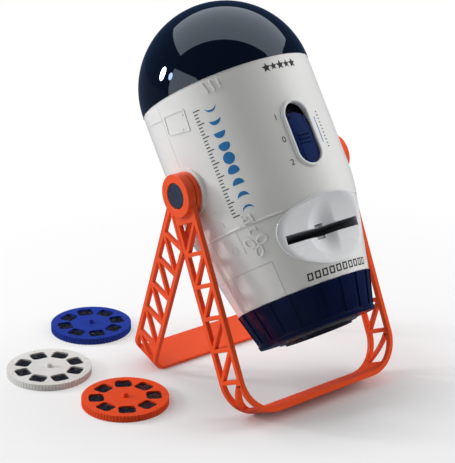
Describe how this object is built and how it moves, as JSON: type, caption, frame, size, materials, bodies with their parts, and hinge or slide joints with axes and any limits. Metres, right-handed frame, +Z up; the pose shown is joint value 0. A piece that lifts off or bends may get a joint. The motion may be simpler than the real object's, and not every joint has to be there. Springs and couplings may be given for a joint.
{
  "type": "planetarium projector",
  "caption": "Table-top planetarium projector: tilting domed casing on a folding lattice stand, with a sliding switch, a disc slot, a turning focus ring and loose slide discs.",
  "frame": {"origin": "middle of the front foot's narrow flat, where the front frame's foot rests on the table", "axes": "+Z up from the table, +X along the tilt pivot to the right as seen from the switch side, +Y towards the back, where the dome leans"},
  "size_m": [0.2351, 0.2719, 0.2738],
  "materials": {
    "casing_white": "gloss",
    "dome_navy": "high gloss",
    "inner_black": "matte",
    "globe_black": "satin",
    "board_green": "satin",
    "lamp_clear": "clear",
    "lens_clear": "polished",
    "bezel_white": "gloss",
    "knob_navy": "satin",
    "ring_navy": "gloss",
    "nut_white": "satin",
    "barrel_grey": "satin",
    "cell_wrap": "satin",
    "contact_metal": "satin",
    "screw_steel": "satin",
    "pin_white": "gloss",
    "cap_navy": "satin",
    "stand_orange": "satin",
    "disc_blue": "satin",
    "disc_white": "satin",
    "disc_orange": "satin",
    "film_dark": "gloss"
  },
  "bodies": {
    "front_stand": {"front_frame": "stand_orange", "hub_washer_left": "inner_black", "hub_washer_right": "inner_black"},
    "rear_stand": {"rear_frame": "stand_orange"},
    "projector": {"front_casing": "casing_white", "rear_casing": "casing_white", "casing_screws": "screw_steel", "dome_seat": "inner_black", "star_globe": "globe_black", "star_lamp_board": "board_green", "star_lamp": "lamp_clear", "light_tube": "inner_black", "beam_lamp_board": "board_green", "beam_lamp": "lamp_clear", "condenser_lens": "lens_clear", "disc_gate": "inner_black", "slot_bezel": "bezel_white", "switch_rim": "bezel_white", "switch_board": "board_green", "switch_contact": "inner_black", "lens_sleeve": "inner_black", "sleeve_nut": "nut_white", "battery_box": "inner_black", "batteries": "cell_wrap", "battery_contacts": "contact_metal", "pivot_pin_left": "pin_white", "pivot_pin_right": "pin_white", "pivot_cap_left": "cap_navy", "pivot_cap_right": "cap_navy"},
    "dome": {"dome_cover": "dome_navy"},
    "switch": {"switch_knob": "knob_navy"},
    "focus_ring": {"focus_ring": "ring_navy"},
    "lens_barrel": {"lens_barrel": "barrel_grey", "lens_retainer": "inner_black", "projection_lens": "lens_clear"},
    "battery_door": {"battery_door": "casing_white", "door_screw": "screw_steel"},
    "blue_disc": {"blue_disc": "disc_blue", "blue_films": "film_dark"},
    "white_disc": {"white_disc": "disc_white", "white_films": "film_dark"},
    "orange_disc": {"orange_disc": "disc_orange", "orange_films": "film_dark"}
  },
  "joints": [
    {"name": "stand_fold", "type": "hinge", "parent": "front_stand", "child": "rear_stand", "pos_m": [0, 0.05849, 0.1541], "axis": [1, 0, 0], "range_deg": [-33, 0]},
    {"name": "body_tilt", "type": "hinge", "parent": "front_stand", "child": "projector", "pos_m": [0, 0.05849, 0.1541], "axis": [1, 0, 0], "continuous": true},
    {"name": "dome_lift", "type": "slide", "parent": "projector", "child": "dome", "axis": [0, 0.5621, 0.8271], "range_m": [0, 0.022]},
    {"name": "switch_slide", "type": "slide", "parent": "projector", "child": "switch", "axis": [0, 0.5621, 0.8271], "range_m": [0, 0.0082]},
    {"name": "focus_turn", "type": "hinge", "parent": "projector", "child": "focus_ring", "pos_m": [0, 0.05849, 0.1541], "axis": [0, 0.5621, 0.8271], "range_deg": [-60, 60]},
    {"name": "barrel_slide", "type": "slide", "parent": "projector", "child": "lens_barrel", "axis": [0, 0.5621, 0.8271], "range_m": [-0.004, 0.004]},
    {"name": "door_lift", "type": "slide", "parent": "projector", "child": "battery_door", "axis": [0, 0.8271, -0.5621], "range_m": [0, 0.02]},
    {"name": "blue_disc_lift", "type": "slide", "parent": "front_stand", "child": "blue_disc", "axis": [0, 0, 1], "range_m": [0, 0.06]},
    {"name": "white_disc_lift", "type": "slide", "parent": "front_stand", "child": "white_disc", "axis": [0, 0, 1], "range_m": [0, 0.06]},
    {"name": "orange_disc_lift", "type": "slide", "parent": "front_stand", "child": "orange_disc", "axis": [0, 0, 1], "range_m": [0, 0.06]}
  ],
  "couplings": [
    {"joint": "barrel_slide", "follows": "focus_turn", "m_per_rad": -0.0038197}
  ]
}
